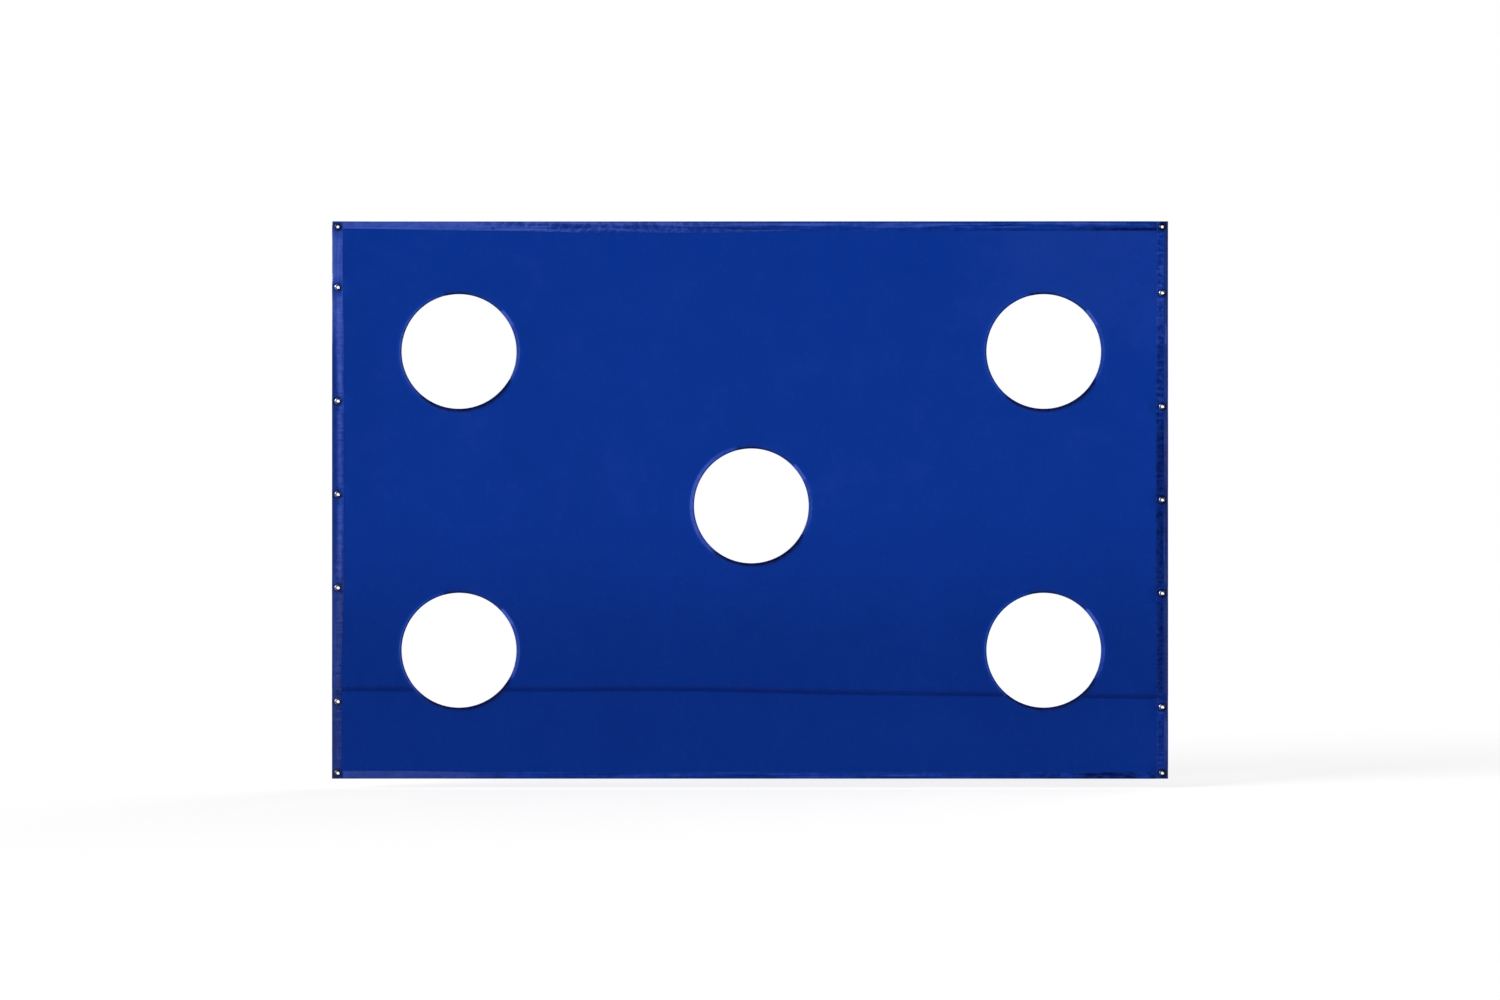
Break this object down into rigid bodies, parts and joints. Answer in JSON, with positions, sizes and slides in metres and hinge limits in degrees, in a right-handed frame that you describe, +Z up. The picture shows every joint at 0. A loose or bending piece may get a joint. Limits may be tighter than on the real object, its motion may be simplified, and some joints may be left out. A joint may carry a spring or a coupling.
{
  "type": "goal target sheet",
  "caption": "Flat coated-fabric target sheet with round tape-bound holes to aim a ball through, bound edges and metal eyelets down both sides for tying it into a goal.",
  "frame": {"origin": "middle of the sheet's width and height, on the mid-plane of the cloth", "axes": "+X to the right across the sheet as seen from the front, +Z up, -Y out of the front face"},
  "size_m": [3, 0.0044, 2],
  "materials": {
    "coated_fabric": "royal blue coated polyester fabric, fine scrim texture, satin",
    "binding_tape": "smooth blue-violet coated binding tape, glossier than the sheet, puckered",
    "eyelet_metal": "pale polished brass"
  },
  "bodies": {
    "root": {"upper_panel": "coated_fabric", "lower_panel": "coated_fabric", "top_binding": "binding_tape", "bottom_binding": "binding_tape", "left_binding": "binding_tape", "right_binding": "binding_tape", "upper_left_hole_binding": "binding_tape", "upper_right_hole_binding": "binding_tape", "centre_hole_binding": "binding_tape", "lower_left_hole_binding": "binding_tape", "lower_right_hole_binding": "binding_tape", "left_eyelet_1": "eyelet_metal", "left_eyelet_2": "eyelet_metal", "left_eyelet_3": "eyelet_metal", "left_eyelet_4": "eyelet_metal", "left_eyelet_5": "eyelet_metal", "left_eyelet_6": "eyelet_metal", "left_eyelet_7": "eyelet_metal", "right_eyelet_1": "eyelet_metal", "right_eyelet_2": "eyelet_metal", "right_eyelet_3": "eyelet_metal", "right_eyelet_4": "eyelet_metal", "right_eyelet_5": "eyelet_metal", "right_eyelet_6": "eyelet_metal", "right_eyelet_7": "eyelet_metal", "left_washer_1": "eyelet_metal", "left_washer_2": "eyelet_metal", "left_washer_3": "eyelet_metal", "left_washer_4": "eyelet_metal", "left_washer_5": "eyelet_metal", "left_washer_6": "eyelet_metal", "left_washer_7": "eyelet_metal", "right_washer_1": "eyelet_metal", "right_washer_2": "eyelet_metal", "right_washer_3": "eyelet_metal", "right_washer_4": "eyelet_metal", "right_washer_5": "eyelet_metal", "right_washer_6": "eyelet_metal", "right_washer_7": "eyelet_metal"}
  },
  "joints": []
}
